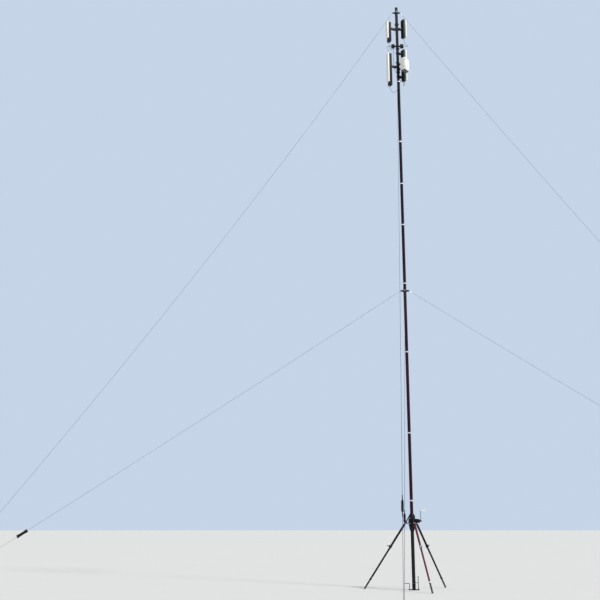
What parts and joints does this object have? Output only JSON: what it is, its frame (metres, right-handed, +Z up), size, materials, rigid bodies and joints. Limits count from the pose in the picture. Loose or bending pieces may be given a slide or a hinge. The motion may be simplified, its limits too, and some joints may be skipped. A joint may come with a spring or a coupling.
{
  "type": "guyed portable radio mast",
  "caption": "Tall guyed tubular radio mast on a folding tripod with a crank, carrying flat panel antennas and a white radio box near its top.",
  "frame": {"origin": "centre of the underside of the round base plate, on the ground, on the mast axis", "axes": "+Z up the mast; +X to the right and +Y away from the viewer in the reference view; guys lie near +X, +Y, -X and -Y"},
  "size_m": [23.0009, 23.519, 15.24],
  "materials": {
    "mast_paint": "satin",
    "leg_paint": "satin",
    "black_steel": "satin",
    "black_casting": "satin",
    "green_casting": "satin",
    "bright_metal": "brushed",
    "anchor_steel": "galvanised",
    "grey_metal": "satin",
    "grey_plastic": "matte",
    "black_plastic": "matte",
    "white_plastic": "satin",
    "white_paint": "satin",
    "foot_rubber": "matte",
    "guy_rope": "braided",
    "cable_jacket": "matte"
  },
  "bodies": {
    "mast": {"base_plate": "black_steel", "column": "black_steel", "base_stakes": "black_steel", "tripod_head": "black_casting", "hinge_pins": "bright_metal", "gearbox": "black_casting", "mast_tubes_lower": "mast_paint", "mast_tubes_upper": "mast_paint", "mast_tube_top": "mast_paint", "joint_rings": "bright_metal", "top_cap": "black_plastic", "guy_ring_mid": "black_casting", "guy_ring_top": "black_casting", "guys_mid": "guy_rope", "guys_top": "guy_rope", "guy_shackles": "bright_metal", "guy_winders": "black_plastic", "anchor_left": "anchor_steel", "anchor_near": "anchor_steel", "anchor_right": "anchor_steel", "anchor_far": "anchor_steel", "housing_left_upper": "black_casting", "housing_left_lower": "black_casting", "housing_right_upper": "green_casting", "housing_right_lower": "green_casting", "radome_left_upper": "white_plastic", "radome_left_lower": "white_plastic", "radome_right_upper": "white_plastic", "radome_right_lower": "white_plastic", "brackets_left": "black_steel", "brackets_right": "black_steel", "cable_junctions": "black_plastic", "radio_box": "white_paint", "radio_bracket": "black_steel", "jumper_left_upper": "cable_jacket", "jumper_left_lower": "cable_jacket", "jumper_right_upper": "cable_jacket", "jumper_right_lower": "cable_jacket", "jumper_box_left": "cable_jacket", "jumper_box_junction": "cable_jacket"},
    "leg_left": {"leg_upper_left": "leg_paint", "leg_clamp_left": "bright_metal"},
    "leg_slide_left": {"leg_lower_left": "leg_paint", "leg_foot_left": "foot_rubber"},
    "leg_right": {"leg_upper_right": "leg_paint", "leg_clamp_right": "bright_metal"},
    "leg_slide_right": {"leg_lower_right": "leg_paint", "leg_foot_right": "foot_rubber"},
    "leg_near": {"leg_upper_near": "leg_paint", "leg_clamp_near": "bright_metal"},
    "leg_slide_near": {"leg_lower_near": "leg_paint", "leg_foot_near": "foot_rubber"},
    "crank": {"crank": "grey_metal", "crank_grip": "grey_plastic"}
  },
  "joints": [
    {"name": "leg_fold_left", "type": "hinge", "parent": "mast", "child": "leg_left", "pos_m": [-0.15779, 0.04824, 1.5], "axis": [-0.2924, -0.9563, 0], "range_deg": [0, 34.07]},
    {"name": "leg_slide_left", "type": "slide", "parent": "leg_left", "child": "leg_slide_left", "axis": [0.5358, -0.1638, 0.8283], "range_m": [0, 0.45]},
    {"name": "leg_fold_right", "type": "hinge", "parent": "mast", "child": "leg_right", "pos_m": [0.12067, 0.11253, 1.5], "axis": [-0.682, 0.7314, 0], "range_deg": [0, 34.07]},
    {"name": "leg_slide_right", "type": "slide", "parent": "leg_right", "child": "leg_slide_right", "axis": [-0.4097, -0.3821, 0.8283], "range_m": [0, 0.45]},
    {"name": "leg_fold_near", "type": "hinge", "parent": "mast", "child": "leg_near", "pos_m": [0.03712, -0.16077, 1.5], "axis": [0.9744, 0.225, 0], "range_deg": [0, 34.07]},
    {"name": "leg_slide_near", "type": "slide", "parent": "leg_near", "child": "leg_slide_near", "axis": [-0.126, 0.5459, 0.8283], "range_m": [0, 0.45]},
    {"name": "crank_turn", "type": "hinge", "parent": "mast", "child": "crank", "pos_m": [0.19126, -0.05847, 1.552], "axis": [0.9563, -0.2924, 0], "continuous": true}
  ]
}
